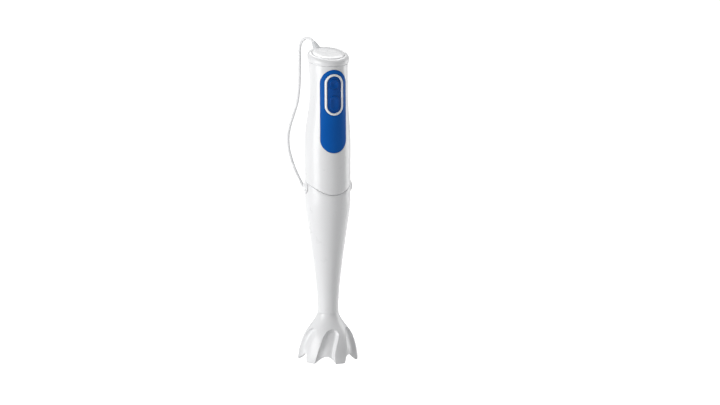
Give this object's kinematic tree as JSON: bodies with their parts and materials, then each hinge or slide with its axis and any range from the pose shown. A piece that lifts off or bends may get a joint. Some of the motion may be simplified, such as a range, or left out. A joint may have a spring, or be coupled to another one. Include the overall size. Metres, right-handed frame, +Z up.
{
  "type": "immersion blender",
  "caption": "Hand blender with a waisted motor handle, front grip panel with two press buttons, twin release buttons, and a detachable blending shaft that ends in a petalled blade guard.",
  "frame": {"origin": "on the shaft's axis, in the plane of the blade guard's petal tips, on which the blender stands", "axes": "+Z up along the shaft to the cap, -Y to the front, where the grip panel and the two buttons are, +X to the right release button as seen from behind"},
  "size_m": [0.0928, 0.1496, 0.3533],
  "materials": {
    "white_plastic": "smooth satin-gloss white ABS",
    "grey_plastic": "light grey moulded plastic",
    "blue_grip": "soft-touch blue grip, satin",
    "dark_blue_keypad": "darker blue keypad, soft-touch",
    "inner_plastic": "dark glass-filled nylon",
    "cord_pvc": "light grey-white PVC lead",
    "steel": "ground stainless steel",
    "laminations": "stacked electrical steel sheet",
    "copper": "enamelled copper wire and bars",
    "brass": "bright brass, sintered bronze in the bushes",
    "carbon": "carbon brush",
    "seal_rubber": "lip seal rubber",
    "board": "glass-epoxy circuit board"
  },
  "bodies": {
    "handle": {"motor_housing": "white_plastic", "cap_collar": "white_plastic", "top_disc": "white_plastic", "grip_panel": "blue_grip", "button_ring": "white_plastic", "keypad_bezel": "dark_blue_keypad", "strain_relief": "grey_plastic", "cord_clamp": "inner_plastic", "circuit_board": "board", "speed_switch": "inner_plastic", "turbo_switch": "inner_plastic", "speed_button_spring": "steel", "turbo_button_spring": "steel", "release_spring_left": "steel", "release_spring_right": "steel", "lower_bracket": "inner_plastic", "lower_bearing": "steel", "upper_bracket": "inner_plastic", "upper_bearing": "steel", "stator_core": "laminations", "field_coil_left": "copper", "field_coil_right": "copper", "tie_screw_left": "steel", "tie_screw_right": "steel", "brush_plate": "inner_plastic", "brush_holder_left": "brass", "brush_holder_right": "brass", "brush_left": "carbon", "brush_right": "carbon", "cord": "cord_pvc", "cord_coil": "cord_pvc", "cord_tail": "cord_pvc", "plug_body": "cord_pvc", "plug_pin_left": "brass", "plug_pin_right": "brass"},
    "rotor": {"armature_shaft": "steel", "armature_core": "laminations", "armature_winding_lower": "copper", "armature_winding_upper": "copper", "commutator": "copper", "cooling_fan": "grey_plastic", "drive_coupling": "inner_plastic"},
    "speed_button": {"speed_button": "dark_blue_keypad"},
    "turbo_button": {"turbo_button": "dark_blue_keypad"},
    "release_button_left": {"release_button_left": "white_plastic"},
    "release_button_right": {"release_button_right": "white_plastic"},
    "blending_shaft": {"shaft_housing": "white_plastic", "blade_guard": "white_plastic", "coupling_insert": "grey_plastic", "shaft_seal": "seal_rubber", "lower_bush": "brass", "bearing_tube": "steel", "upper_bush": "brass"},
    "spindle": {"drive_spindle": "steel", "spindle_coupling": "grey_plastic", "blade": "steel", "blade_hub": "grey_plastic", "blade_cap": "steel"}
  },
  "joints": [
    {"name": "shaft_pull_off", "type": "slide", "parent": "handle", "child": "blending_shaft", "axis": [0, 0, -1], "range_m": [0, 0.04]},
    {"name": "rotor_spin", "type": "hinge", "parent": "handle", "child": "rotor", "pos_m": [0, 0, 0.24], "axis": [0, 0, 1], "continuous": true},
    {"name": "spindle_spin", "type": "hinge", "parent": "blending_shaft", "child": "spindle", "pos_m": [0, 0, 0.1], "axis": [0, 0, 1], "continuous": true},
    {"name": "speed_press", "type": "slide", "parent": "handle", "child": "speed_button", "axis": [0, 1, 0], "range_m": [0, 0.0012], "stiffness_N_per_m": 600, "springref_m": -0.001, "deforming": ["speed_button_spring"]},
    {"name": "turbo_press", "type": "slide", "parent": "handle", "child": "turbo_button", "axis": [0, 1, 0], "range_m": [0, 0.0012], "stiffness_N_per_m": 600, "springref_m": -0.001, "deforming": ["turbo_button_spring"]},
    {"name": "release_press_left", "type": "slide", "parent": "handle", "child": "release_button_left", "axis": [1, 0, 0], "range_m": [0, 0.002], "stiffness_N_per_m": 800, "springref_m": -0.001, "deforming": ["release_spring_left"]},
    {"name": "release_press_right", "type": "slide", "parent": "handle", "child": "release_button_right", "axis": [-1, 0, 0], "range_m": [0, 0.002], "stiffness_N_per_m": 800, "springref_m": -0.001, "deforming": ["release_spring_right"]}
  ],
  "couplings": [
    {"joint": "spindle_spin", "follows": "rotor_spin", "ratio": 1}
  ]
}
